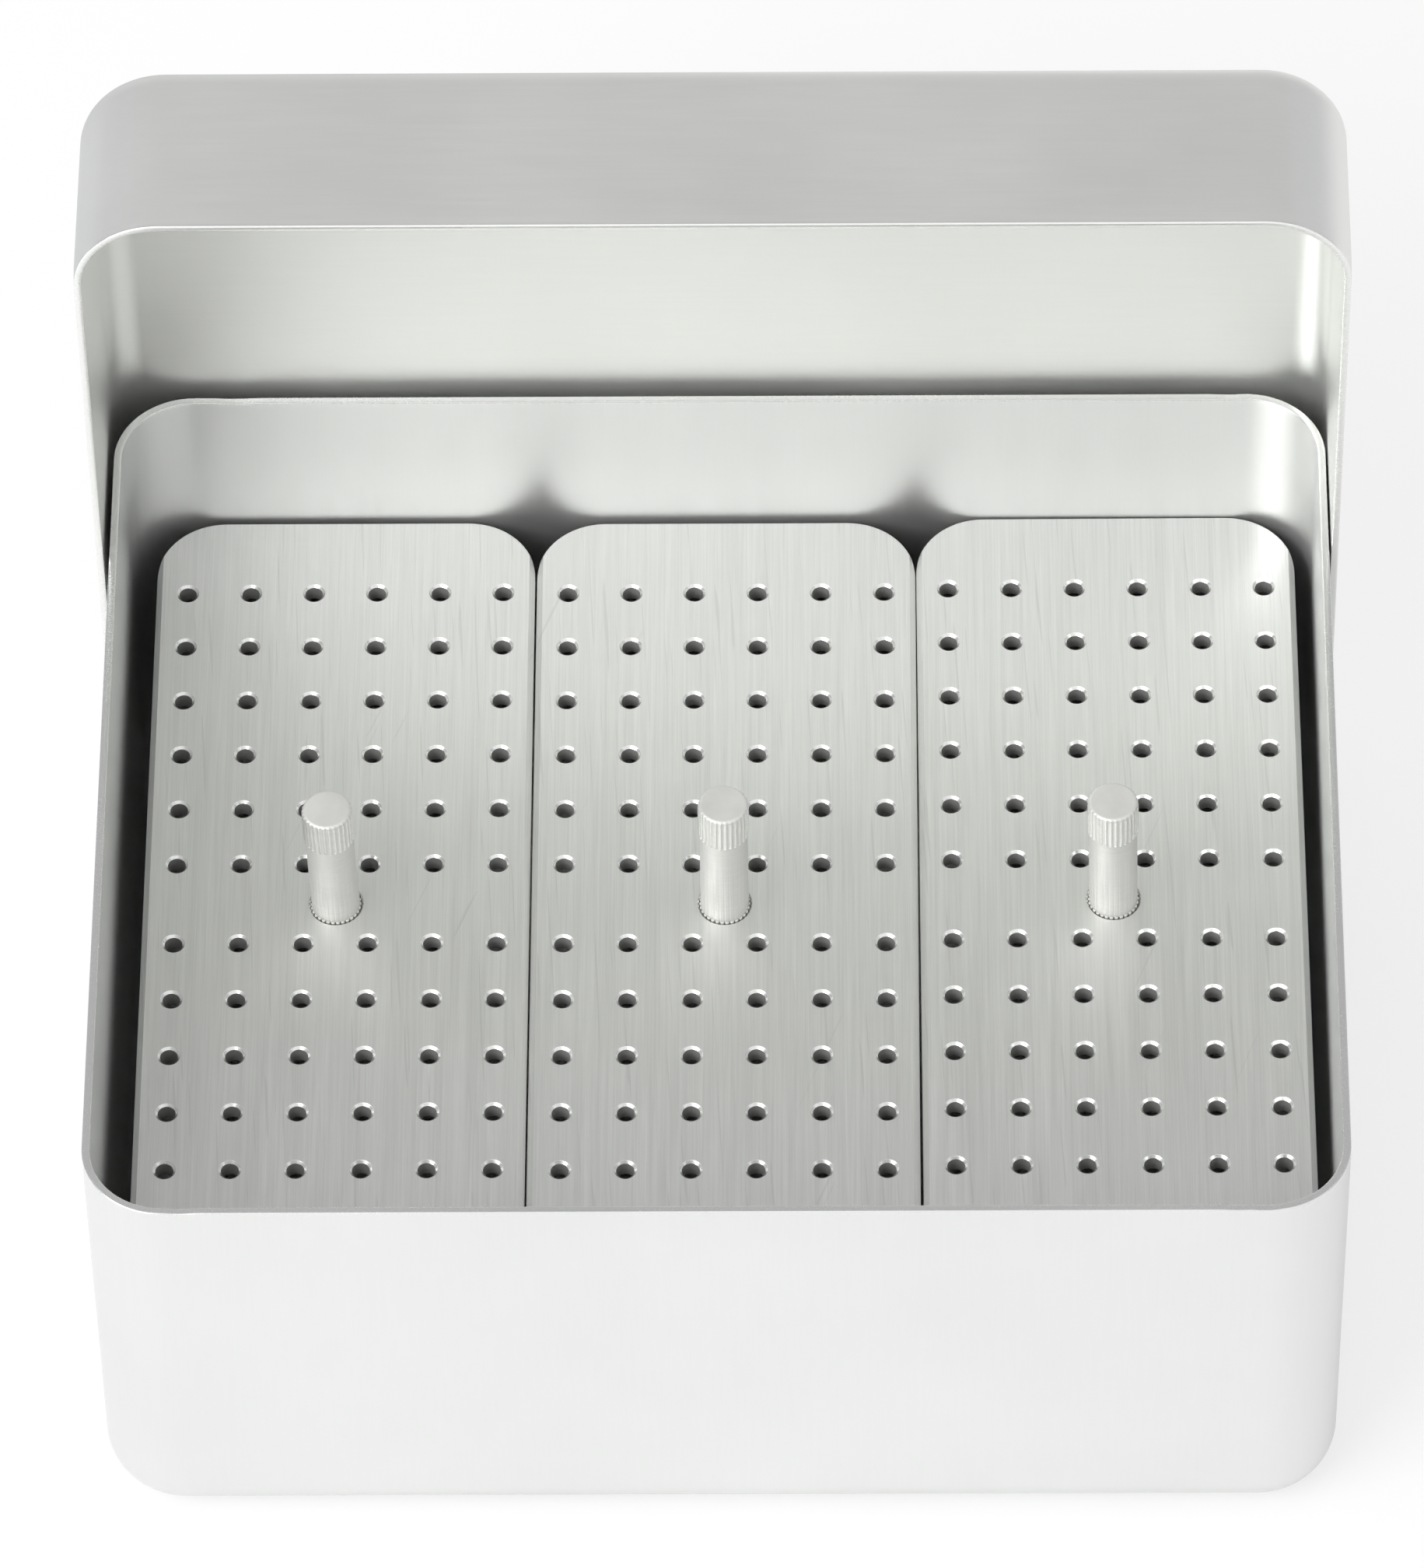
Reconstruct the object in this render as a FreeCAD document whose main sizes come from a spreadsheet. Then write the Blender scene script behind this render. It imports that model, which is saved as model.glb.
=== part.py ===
"""Endodontic file box of drawn aluminium sheet.

The open tray holds three perforated racks that stand side by side on its floor. Each rack has a turned
lifting post pressed into the middle of its plate. The lid stands on its long side behind the tray, with its
opening to the front, and the back of the tray stands on the lid's lower wall.

World frame in millimetres: z = 0 is the surface that the box stands on, +X runs to the right, +Y to the back,
and x = 0, y = 0 lies under the middle of the whole.
"""
import FreeCAD, Part
import os

import Sketcher

PARTS_FOLDER = "parts"
HORIZONTAL_AXIS = -1
START = 1
END = 2
CENTRE = 3

# Driving dimensions in millimetres and degrees: alias, value, meaning
DRIVING_SIZES = [
    ("column_pitch", 6.5, "distance of file holes across a rack"),
    ("row_pitch", 7.0, "distance of file holes along a rack"),
    ("middle_row_gap", 10.0, "distance of the two rows beside the post"),
    ("hole_columns", 6, "file holes across a rack"),
    ("hole_rows", 6, "rows of file holes on each side of the post"),
    ("file_hole_diameter", 1.8, "mean width of a hole through the plate"),
    ("file_hole_sides", 6, "flats of a hole, which keep the many holes light"),
    ("side_margin", 3.25, "outer column to the long edge of the plate"),
    ("end_margin", 9.25, "outer row to the short edge of the plate"),
    ("plate_thickness", 2.0, "top plate of a rack"),
    ("plate_corner_radius", 7.0, "plan corners of a plate"),
    ("plate_edge_chamfer", 0.6, "bevel along the long top edges"),
    ("leg_thickness", 1.5, "side legs under a plate"),
    ("rack_height", 33.0, "foot of the legs to the top of the plate"),
    ("rack_gap", 0.2, "between two neighbouring racks"),
    ("rack_row_shift", 0.5, "the row of racks stands a little to the right"),
    ("left_back_gap", 0.45, "left plate to the back wall of the tray"),
    ("middle_back_gap", 0.6, "middle plate to the back wall of the tray"),
    ("right_back_gap", 0.15, "right plate to the back wall of the tray"),
    ("right_rack_turn", 0.15, "the right rack stands a little askew"),
    ("tray_side_room", 2.2, "racks to the side walls, mean of both sides"),
    ("tray_end_room", 1.15, "racks to the end walls, mean of both ends"),
    ("tray_sheet", 0.8, "sheet of the tray"),
    ("rim_over_plates", 19.0, "rim of the tray above the plates"),
    ("tray_corner_radius", 8.0, "outer plan corners at the rim"),
    ("tray_bottom_radius", 6.0, "outer edge between walls and bottom"),
    ("foot_clearance", 0.3, "leg ends to the curve of the tray's bottom"),
    ("lid_sheet", 0.8, "sheet of the lid"),
    ("lid_side_clearance", 0.4, "lid to the tray's side walls when closed"),
    ("lid_end_clearance", 0.15, "lid to the tray's end walls when closed"),
    ("lid_depth", 22.6, "rim of the lid to its closed face"),
    ("lid_edge_radius", 4.3, "outer edge between walls and closed face"),
    ("tray_shift", 0.2, "the tray stands a little to the right in the lid"),
    ("contact_gap", 0.05, "tray's back wall to the inside of the lid"),
    ("seat_gap", 0.06, "tray's bottom to the lid where it rests"),
    ("post_diameter", 4.85, "plain shank of a post"),
    ("post_length", 18.9, "whole turned pin"),
    ("band_diameter", 5.15, "grip at the top, and seat at the bottom"),
    ("grip_length", 4.4, "thicker band at the top"),
    ("seat_length", 2.4, "thicker end that is pressed into the plate"),
    ("post_edge_chamfer", 0.3, "top and bottom edge of a post"),
    ("post_hole_clearance", 0.03, "radial, round the ridges of the seat"),
    ("post_hole_chamfer", 0.25, "top edge of the post's hole"),
    ("left_post_stand", 15.6, "left post above its plate"),
    ("middle_post_stand", 16.4, "middle post above its plate"),
    ("right_post_stand", 16.0, "right post above its plate"),
    ("left_post_lean", -1.3, "the left post leans to the left"),
    ("right_post_lean", -1.1, "the right post leans to the left"),
]

# Worked out from the driving dimensions: alias, formula, meaning
DERIVED_SIZES = [
    ("rack_width", "(hole_columns - 1) * column_pitch + 2 * side_margin", "width of a plate"),
    ("rack_length", "2 * (hole_rows - 1) * row_pitch + middle_row_gap + 2 * end_margin",
     "length of a plate"),
    ("leg_height", "rack_height - plate_thickness", "legs up to the plate"),
    ("leg_offset", "(hole_columns / 2 - 1) * column_pitch", "legs stand between the two outer columns"),
    ("rack_step", "rack_width + rack_gap", "from rack to rack"),
    ("post_hole_radius", "band_diameter / 2 + post_hole_clearance", "hole in the middle of a plate"),
    ("tray_width", "3 * rack_width + 2 * rack_gap + 2 * tray_side_room + 2 * tray_sheet",
     "outside, at the rim"),
    ("tray_length", "rack_length + 2 * tray_end_room + 2 * tray_sheet", "outside, at the rim"),
    ("tray_depth", "tray_sheet + rack_height + rim_over_plates", "outside, rim to bottom"),
    ("back_wall", "tray_length / 2 - tray_sheet", "inside of the tray's back wall"),
    ("left_rack_y", "back_wall - left_back_gap - rack_length / 2", "middle of the left rack"),
    ("middle_rack_y", "back_wall - middle_back_gap - rack_length / 2", "middle of the middle rack"),
    ("right_rack_y", "back_wall - right_back_gap - rack_length / 2", "middle of the right rack"),
    ("flat_floor", "tray_length / 2 - tray_bottom_radius", "half length of the tray's flat floor"),
    ("leg_length", "2 * (flat_floor - right_rack_y - foot_clearance)", "legs stay on the flat floor"),
    ("lid_width", "tray_width + 2 * lid_side_clearance + 2 * lid_sheet", "outside, at the rim"),
    ("lid_length", "tray_length + 2 * lid_end_clearance + 2 * lid_sheet", "outside, at the rim"),
    ("lid_corner_radius", "tray_corner_radius + lid_sheet", "outer plan corners at the rim"),
    ("corner_gap", "lid_side_clearance - tray_shift", "side of the tray to the lid's wall"),
    ("corner_excess", "lid_corner_radius - lid_sheet - tray_bottom_radius",
     "the lid's corner is the rounder one"),
    ("corner_lift", "corner_excess > corner_gap ? corner_excess - sqrt(corner_excess ^ 2 -"
     " (corner_excess - corner_gap) ^ 2) : 0", "the lid's corners hold the tray's bottom off its wall"),
    ("back_support", "lid_sheet + corner_lift + seat_gap", "height of the tray's bottom at the lid's rim"),
    ("first_tilt", "atan(back_support / (flat_floor + tray_length / 2 - lid_depth + lid_sheet))",
     "first guess"),
    ("contact_y", "flat_floor * cos(first_tilt) + tray_bottom_radius * (1 - sin(first_tilt)) + contact_gap",
     "the tray's back wall meets the inside of the lid's closed face here"),
    ("lid_rim_y", "contact_y + lid_sheet - lid_depth", "the lid's rim, from the middle of the tray"),
    ("tray_tilt", "atan(back_support / (lid_rim_y + flat_floor))", "the tray's back stands on the lid"),
    ("front_reach", "tray_length / 2 * cos(tray_tilt) + tray_depth * sin(tray_tilt)",
     "front rim from the tray's middle"),
    ("tray_y", "(front_reach - lid_rim_y - lid_depth) / 2", "puts the middle of the whole at y = 0"),
    ("tray_z", "flat_floor * sin(tray_tilt)", "lifts the middle of the tray"),
    ("lid_y", "lid_rim_y + lid_depth + tray_y", "closed face of the lid"),
    ("lid_z", "lid_length / 2", "middle of the lid, on its long wall"),
]


def write_sheet(document):
    """Put the driving and the worked out dimensions into one spreadsheet."""
    sheet = document.addObject("Spreadsheet::Sheet", "Sizes")
    row = 0
    for alias, value, meaning in DRIVING_SIZES:
        row += 1
        sheet.set(f"A{row}", alias)
        sheet.set(f"B{row}", str(value))
        sheet.set(f"C{row}", meaning)
        sheet.setAlias(f"B{row}", alias)
    for alias, formula, meaning in DERIVED_SIZES:
        row += 1
        sheet.set(f"A{row}", alias)
        sheet.set(f"B{row}", "=" + formula)
        sheet.set(f"C{row}", meaning)
        sheet.setAlias(f"B{row}", alias)
    document.recompute()
    return sheet


def bound(formula, sheet):
    """Write the sheet's name before each alias in a formula."""
    aliases = {alias for alias, _, _ in DRIVING_SIZES} | {alias for alias, _, _ in DERIVED_SIZES}
    words = []
    word = ""
    for letter in formula + " ":
        if letter.isalnum() or letter == "_":
            word += letter
            continue
        words.append(f"{sheet.Name}.{word}" if word in aliases else word)
        words.append(letter)
        word = ""
    return "".join(words).strip()


def new_body(document, label):
    """Make an empty body whose label names its file."""
    body = document.addObject("PartDesign::Body", label)
    body.Label = label
    return body


def origin_feature(body, role):
    """Find one of the body's own origin planes or axes."""
    return next(feature for feature in body.Origin.OriginFeatures if feature.Role == role)


def new_sketch(body, name, plane, sheet, height="0"):
    """Attach a sketch to an origin plane of its body, raised by a bound height."""
    sketch = body.newObject("Sketcher::SketchObject", name)
    sketch.AttachmentSupport = [(origin_feature(body, plane), "")]
    sketch.MapMode = "FlatFace"
    if height != "0":
        sketch.setExpression("AttachmentOffset.Base.z", bound(height, sheet))
    return sketch


def bind_constraint(sketch, constraint, name, formula, sheet):
    """Add a named dimension to a sketch and bind it to the sheet."""
    index = sketch.addConstraint(constraint)
    sketch.renameConstraint(index, name)
    sketch.setExpression(f"Constraints.{name}", bound(formula, sheet))


def place_point(sketch, geometry, point, tag, across, along, sheet):
    """Hold one point of a sketch at bound distances from the origin."""
    x_part = Sketcher.Constraint("DistanceX", HORIZONTAL_AXIS, START, geometry, point, 1.0)
    y_part = Sketcher.Constraint("DistanceY", HORIZONTAL_AXIS, START, geometry, point, 1.0)
    bind_constraint(sketch, x_part, f"{tag}_across", across, sheet)
    bind_constraint(sketch, y_part, f"{tag}_along", along, sheet)


def number(item, formula, sheet):
    """Work out a formula's present value."""
    value = item.evalExpression(bound(formula, sheet))
    return float(value.Value) if hasattr(value, "Value") else float(value)


def draw_polygon(sketch, corners, tag, sheet):
    """Draw a closed outline whose corners are pairs of bound formulas."""
    first = sketch.GeometryCount
    count = len(corners)
    values = []
    for across, along in corners:
        values.append(FreeCAD.Vector(number(sketch, across, sheet), number(sketch, along, sheet), 0))
    for index in range(count):
        sketch.addGeometry(Part.LineSegment(values[index], values[(index + 1) % count]), False)
    for index in range(count):
        following = first + (index + 1) % count
        sketch.addConstraint(Sketcher.Constraint("Coincident", first + index, END, following, START))
    for index, (across, along) in enumerate(corners):
        place_point(sketch, first + index, START, f"{tag}_{index}", across, along, sheet)


def draw_circle(sketch, across, along, radius, tag, sheet):
    """Draw a circle with bound centre and radius."""
    circle = sketch.addGeometry(Part.Circle(FreeCAD.Vector(0, 0, 0), FreeCAD.Vector(0, 0, 1), 1.0), False)
    place_point(sketch, circle, CENTRE, tag, across, along, sheet)
    bind_constraint(sketch, Sketcher.Constraint("Radius", circle, 1.0), f"{tag}_radius", radius, sheet)


def draw_flat_sided_hole(sketch, across, along, diameter, sides, tag, sheet):
    """Draw an even-sided polygon whose corners and flats lie equally far off the round hole's wall."""
    count = round(number(sketch, sides, sheet))
    corner_radius = f"{diameter} / (1 + cos(180 / {sides}))"
    corners = []
    for index in range(count):
        angle = f"({index} + 0.5) * 360 / {sides}"
        corner_across = f"{across} + {corner_radius} * cos({angle})"
        corner_along = f"{along} + {corner_radius} * sin({angle})"
        corners.append((corner_across, corner_along))
    draw_polygon(sketch, corners, tag, sheet)


def draw_rounded_rectangle(sketch, width, length, radius, sheet):
    """Draw a rectangle round the origin with four equal tangent corners."""
    half_width = number(sketch, width, sheet) / 2
    half_length = number(sketch, length, sheet) / 2
    corner = number(sketch, radius, sheet)
    inner_x = half_width - corner
    inner_y = half_length - corner
    normal = FreeCAD.Vector(0, 0, 1)
    sides = [
        ((-inner_x, -half_length), (inner_x, -half_length)),
        ((half_width, -inner_y), (half_width, inner_y)),
        ((inner_x, half_length), (-inner_x, half_length)),
        ((-half_width, inner_y), (-half_width, -inner_y)),
    ]
    centres = [(inner_x, -inner_y), (inner_x, inner_y), (-inner_x, inner_y), (-inner_x, -inner_y)]
    quarter = 1.5707963267948966
    for start, end in sides:
        sketch.addGeometry(Part.LineSegment(FreeCAD.Vector(*start, 0), FreeCAD.Vector(*end, 0)), False)
    for index, centre in enumerate(centres):
        circle = Part.Circle(FreeCAD.Vector(*centre, 0), normal, corner)
        start_angle = (index - 1) * quarter
        sketch.addGeometry(Part.ArcOfCircle(circle, start_angle, start_angle + quarter), False)
    for index in range(4):
        arc = 4 + index
        sketch.addConstraint(Sketcher.Constraint("Tangent", index, END, arc, START))
        sketch.addConstraint(Sketcher.Constraint("Tangent", arc, END, (index + 1) % 4, START))
    for line, direction in ((0, "Horizontal"), (1, "Vertical"), (2, "Horizontal"), (3, "Vertical")):
        sketch.addConstraint(Sketcher.Constraint(direction, line))
    for arc in (5, 6, 7):
        sketch.addConstraint(Sketcher.Constraint("Equal", 4, arc))
    bind_constraint(sketch, Sketcher.Constraint("Radius", 4, corner), "corner", radius, sheet)
    reaches = [
        ("right", "DistanceX", (HORIZONTAL_AXIS, START, 1, START), width),
        ("left", "DistanceX", (3, START, HORIZONTAL_AXIS, START), width),
        ("back", "DistanceY", (HORIZONTAL_AXIS, START, 2, START), length),
        ("front", "DistanceY", (0, START, HORIZONTAL_AXIS, START), length),
    ]
    for name, kind, points, size in reaches:
        bind_constraint(sketch, Sketcher.Constraint(kind, *points, 1.0), name, f"({size}) / 2", sheet)


def add_pad(body, sketch, length, sheet):
    """Raise a sketch into material by a bound length."""
    pad = body.newObject("PartDesign::Pad", f"{sketch.Name}_pad")
    pad.Profile = sketch
    pad.setExpression("Length", bound(length, sheet))
    body.Tip = pad
    return pad


def add_pocket(body, sketch, length, sheet, symmetric=False):
    """Cut a sketch out of the body by a bound length."""
    pocket = body.newObject("PartDesign::Pocket", f"{sketch.Name}_cut")
    pocket.Profile = sketch
    if symmetric:
        pocket.SideType = "Symmetric"
    pocket.setExpression("Length", bound(length, sheet))
    body.Tip = pocket
    return pocket


def edges_at_height(shape, height):
    """Name the edges that lie wholly at one height."""
    names = []
    for index, edge in enumerate(shape.Edges):
        box = edge.BoundBox
        if abs(box.ZMin - height) < 1e-4 and abs(box.ZMax - height) < 1e-4:
            names.append(f"Edge{index + 1}")
    return names


def round_edges(document, body, height, radius, sheet, name):
    """Round the closed line of edges at one height by a bound radius."""
    base = body.Tip
    document.recompute()
    fillet = body.newObject("PartDesign::Fillet", name)
    fillet.Base = (base, edges_at_height(base.Shape, number(base, height, sheet)))
    fillet.setExpression("Radius", bound(radius, sheet))
    body.Tip = fillet


def drawn_shell(document, sheet, label, depth, corner, edge_radius, gauge):
    """Deep-drawn open shell: closed face at z = 0, rim on top, rounded all round its closed face."""
    body = new_body(document, label)
    kind = label.split("_")[-1]
    width = f"{kind}_width"
    length = f"{kind}_length"
    outside = new_sketch(body, f"{label}_outside", "XY_Plane", sheet)
    draw_rounded_rectangle(outside, width, length, corner, sheet)
    add_pad(body, outside, depth, sheet)
    inside = new_sketch(body, f"{label}_inside", "XY_Plane", sheet, depth)
    inner_width = f"{width} - 2 * {gauge}"
    inner_length = f"{length} - 2 * {gauge}"
    draw_rounded_rectangle(inside, inner_width, inner_length, f"{corner} - {gauge}", sheet)
    add_pocket(body, inside, f"{depth} - {gauge}", sheet)
    round_edges(document, body, "0", edge_radius, sheet, f"{label}_outer_round")
    round_edges(document, body, gauge, f"{edge_radius} - {gauge}", sheet, f"{label}_inner_round")
    return body


def build_rack(document, sheet, label):
    """Perforated rack: plate on two long legs, with file holes and the hole of the post."""
    body = new_body(document, label)
    plate = new_sketch(body, f"{label}_plate", "XY_Plane", sheet, "leg_height")
    draw_rounded_rectangle(plate, "rack_width", "rack_length", "plate_corner_radius", sheet)
    add_pad(body, plate, "plate_thickness", sheet)
    legs = new_sketch(body, f"{label}_legs", "XY_Plane", sheet)
    for side, name in (("-1", "left"), ("1", "right")):
        inner = f"{side} * (leg_offset - leg_thickness / 2)"
        outer = f"{side} * (leg_offset + leg_thickness / 2)"
        front = "-leg_length / 2"
        back = "leg_length / 2"
        corners = [(inner, front), (outer, front), (outer, back), (inner, back)]
        draw_polygon(legs, corners, name, sheet)
    add_pad(body, legs, "leg_height", sheet)
    bevel = new_sketch(body, f"{label}_bevel", "XZ_Plane", sheet)
    for side, name in (("-1", "left"), ("1", "right")):
        edge = f"{side} * rack_width / 2"
        inside = f"{side} * (rack_width / 2 - plate_edge_chamfer)"
        beyond = f"{side} * (rack_width / 2 + plate_edge_chamfer)"
        corners = [
            (edge, "rack_height - plate_edge_chamfer"),
            (inside, "rack_height"),
            (inside, "rack_height + plate_edge_chamfer"),
            (beyond, "rack_height + plate_edge_chamfer"),
            (beyond, "rack_height - plate_edge_chamfer"),
        ]
        draw_polygon(bevel, corners, name, sheet)
    add_pocket(body, bevel, "rack_length + 2 * plate_corner_radius", sheet, symmetric=True)
    first_hole = new_sketch(body, f"{label}_file_hole", "XY_Plane", sheet, "rack_height")
    first_column = "-(hole_columns - 1) / 2 * column_pitch"
    near_row = "middle_row_gap / 2"
    far_row = "-(middle_row_gap / 2 + (hole_rows - 1) * row_pitch)"
    width = "file_hole_diameter"
    sides = "file_hole_sides"
    for row, name in ((near_row, "back"), (far_row, "front")):
        draw_flat_sided_hole(first_hole, first_column, row, width, sides, name, sheet)
    drill = add_pocket(body, first_hole, "plate_thickness", sheet)
    grid = body.newObject("PartDesign::LinearPattern", f"{label}_hole_grid")
    grid.Originals = [drill]
    grid.Direction = (origin_feature(body, "X_Axis"), [""])
    grid.Direction2 = (origin_feature(body, "Y_Axis"), [""])
    grid.setExpression("Length", bound("(hole_columns - 1) * column_pitch", sheet))
    grid.setExpression("Length2", bound("(hole_rows - 1) * row_pitch", sheet))
    grid.setExpression("Occurrences", bound("hole_columns", sheet))
    grid.setExpression("Occurrences2", bound("hole_rows", sheet))
    body.Tip = grid
    post_hole = new_sketch(body, f"{label}_post_hole", "XY_Plane", sheet, "rack_height")
    draw_circle(post_hole, "0", "0", "post_hole_radius", "post", sheet)
    add_pocket(body, post_hole, "plate_thickness", sheet)
    mouth = new_sketch(body, f"{label}_post_mouth", "XZ_Plane", sheet)
    mouth_points = [
        ("0", "rack_height - post_hole_chamfer"),
        ("post_hole_radius", "rack_height - post_hole_chamfer"),
        ("post_hole_radius + 2 * post_hole_chamfer", "rack_height + post_hole_chamfer"),
        ("0", "rack_height + post_hole_chamfer"),
    ]
    draw_polygon(mouth, mouth_points, "mouth", sheet)
    countersink = body.newObject("PartDesign::Groove", f"{label}_post_countersink")
    countersink.Profile = mouth
    countersink.ReferenceAxis = (origin_feature(body, "Z_Axis"), [""])
    countersink.Angle = 360
    body.Tip = countersink
    return body


def build_post(document, sheet, label):
    """Turned lifting post with a thicker grip on top and a thicker seat below."""
    body = new_body(document, label)
    profile = new_sketch(body, f"{label}_profile", "XZ_Plane", sheet)
    corners = [
        ("0", "0"),
        ("band_diameter / 2 - post_edge_chamfer", "0"),
        ("band_diameter / 2", "post_edge_chamfer"),
        ("band_diameter / 2", "seat_length"),
        ("post_diameter / 2", "seat_length"),
        ("post_diameter / 2", "post_length - grip_length"),
        ("band_diameter / 2", "post_length - grip_length"),
        ("band_diameter / 2", "post_length - post_edge_chamfer"),
        ("band_diameter / 2 - post_edge_chamfer", "post_length"),
        ("0", "post_length"),
    ]
    draw_polygon(profile, corners, "turned", sheet)
    turned = body.newObject("PartDesign::Revolution", f"{label}_turned")
    turned.Profile = profile
    turned.ReferenceAxis = (origin_feature(body, "Z_Axis"), [""])
    turned.Angle = 360
    body.Tip = turned
    return body


def place(body, steps, sheet):
    """Chain placements, each an offset and a turn about an axis, all bound to the sheet."""
    chain = []
    for offset, axis, angle in steps:
        turn = f"rotation(vector({'; '.join(axis)}); {angle})"
        chain.append(f"placement(vector({'; '.join(offset)}); {turn})")
    body.setExpression("Placement", bound(" * ".join(chain), sheet))


def check(document, bodies):
    """Stop on any failed object or unsound shape."""
    for item in document.Objects:
        if "Invalid" in item.State or "Error" in item.State:
            raise RuntimeError(f"{item.Name} failed: {item.State}")
    for body in bodies:
        shape = body.Shape
        if shape.isNull() or not shape.isValid() or len(shape.Solids) != 1:
            raise RuntimeError(f"{body.Label} has no sound solid")


def main():
    """Build the document and write one file for each piece."""
    document = FreeCAD.newDocument("EndodonticFileBox")
    sheet = write_sheet(document)
    across = ("1", "0", "0")
    sideways = ("0", "1", "0")
    upright = ("0", "0", "1")
    in_tray = (("tray_shift", "tray_y", "tray_z"), across, "tray_tilt")

    tray = drawn_shell(document, sheet, "file_tray", "tray_depth", "tray_corner_radius",
                       "tray_bottom_radius", "tray_sheet")
    place(tray, [in_tray], sheet)
    lid = drawn_shell(document, sheet, "lid", "lid_depth", "lid_corner_radius",
                      "lid_edge_radius", "lid_sheet")
    place(lid, [(("0", "lid_y", "lid_z"), across, "90")], sheet)
    bodies = [tray, lid]

    turns = {"left": "0", "middle": "0", "right": "right_rack_turn"}
    leans = {"left": "left_post_lean", "middle": "0", "right": "right_post_lean"}
    for order, name in enumerate(("left", "middle", "right")):
        rack_x = f"rack_row_shift + {order - 1} * rack_step"
        in_row = ((rack_x, f"{name}_rack_y", "tray_sheet"), upright, turns[name])
        rack = build_rack(document, sheet, f"rack_{name}")
        place(rack, [in_tray, in_row], sheet)
        post = build_post(document, sheet, f"post_{name}")
        at_plate = (("0", "0", "rack_height - plate_thickness / 2"), sideways, leans[name])
        drop = (("0", "0", f"{name}_post_stand + plate_thickness / 2 - post_length"), upright, "0")
        place(post, [in_tray, in_row, at_plate, drop], sheet)
        bodies += [rack, post]

    document.recompute()
    check(document, bodies)
    os.makedirs(PARTS_FOLDER, exist_ok=True)
    for body in bodies:
        body.Shape.exportStep(f"{PARTS_FOLDER}/{body.Label}.step")
        print(body.Label, "volume", round(body.Shape.Volume, 1))


main()
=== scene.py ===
"""Endodontic file box: finishes, fine detail, studio light and camera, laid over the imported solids.

Lengths are in metres in the frame of the solids: z = 0 is the surface, +X right, +Y back.
"""

import logging
import math
from dataclasses import dataclass
from enum import Enum
from typing import Callable, Iterable, Sequence

import bmesh
import bpy
from mathutils import Matrix, Vector

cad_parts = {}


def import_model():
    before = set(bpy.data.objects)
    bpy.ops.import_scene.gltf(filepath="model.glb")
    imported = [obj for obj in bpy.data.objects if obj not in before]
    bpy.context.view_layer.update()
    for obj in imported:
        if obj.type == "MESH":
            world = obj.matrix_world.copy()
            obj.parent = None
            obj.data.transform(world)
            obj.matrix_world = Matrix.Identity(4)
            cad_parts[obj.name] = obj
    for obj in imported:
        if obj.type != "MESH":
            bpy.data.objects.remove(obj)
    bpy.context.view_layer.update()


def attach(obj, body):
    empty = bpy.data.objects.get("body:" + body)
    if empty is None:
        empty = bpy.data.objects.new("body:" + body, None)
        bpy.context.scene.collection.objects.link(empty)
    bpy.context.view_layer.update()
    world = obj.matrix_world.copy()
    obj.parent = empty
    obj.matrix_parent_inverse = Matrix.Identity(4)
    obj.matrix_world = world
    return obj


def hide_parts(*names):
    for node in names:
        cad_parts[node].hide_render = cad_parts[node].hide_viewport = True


log = logging.getLogger("file_box")
MM = 0.001
BODY = "root"

Colour = tuple[float, float, float]
Point = tuple[float, float, float]
PlanPoint = tuple[float, float]
Socket = bpy.types.NodeSocket


class Grain(Enum):
    """Direction that the marks of rolling or brushing run in, as scales along X, Y and Z."""

    EVEN = (1.0, 1.0, 1.0)
    ALONG_X = (0.035, 1.0, 1.0)
    ALONG_Y = (1.0, 0.035, 1.0)
    ALONG_Z = (1.0, 1.0, 0.035)
    ROUND_POST = (0.04, 0.04, 1.0)
    LONG_STREAKS = (1.0, 0.03, 1.0)
    LONGEST_STREAKS = (1.0, 0.012, 1.0)


class Mark(Enum):
    """Values on the points of a mesh that its finish reads."""

    WORN = "worn_edge"
    BORE = "bored_wall"


# Placement of the pieces, as in the solids


@dataclass(frozen=True)
class TrayPlace:
    """Where the tray stands: its back is lifted by the lid's wall."""

    tilt_degrees: float = 1.5293
    shift_x: float = 0.2 * MM
    shift_y: float = 0.3584 * MM
    lift: float = 1.2063 * MM

    def matrix(self) -> Matrix:
        """Matrix from the tray's own frame to the world."""
        offset = Matrix.Translation((self.shift_x, self.shift_y, self.lift))
        return offset @ Matrix.Rotation(math.radians(self.tilt_degrees), 4, "X")


@dataclass(frozen=True)
class RackPlace:
    """Where one rack stands on the tray's floor, and how its post stands in it."""

    side: str
    x: float
    y: float
    turn_degrees: float
    post_stand: float
    post_lean_degrees: float
    floor: float = 0.8 * MM

    def matrix(self, tray: TrayPlace) -> Matrix:
        """Matrix from the rack's own frame to the world.

        Args:
            tray: placement of the tray that holds the rack.

        Returns:
            The product of both placements.
        """
        turned = Matrix.Rotation(math.radians(self.turn_degrees), 4, "Z")
        return tray.matrix() @ Matrix.Translation((self.x, self.y, self.floor)) @ turned


# Node helpers


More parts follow.
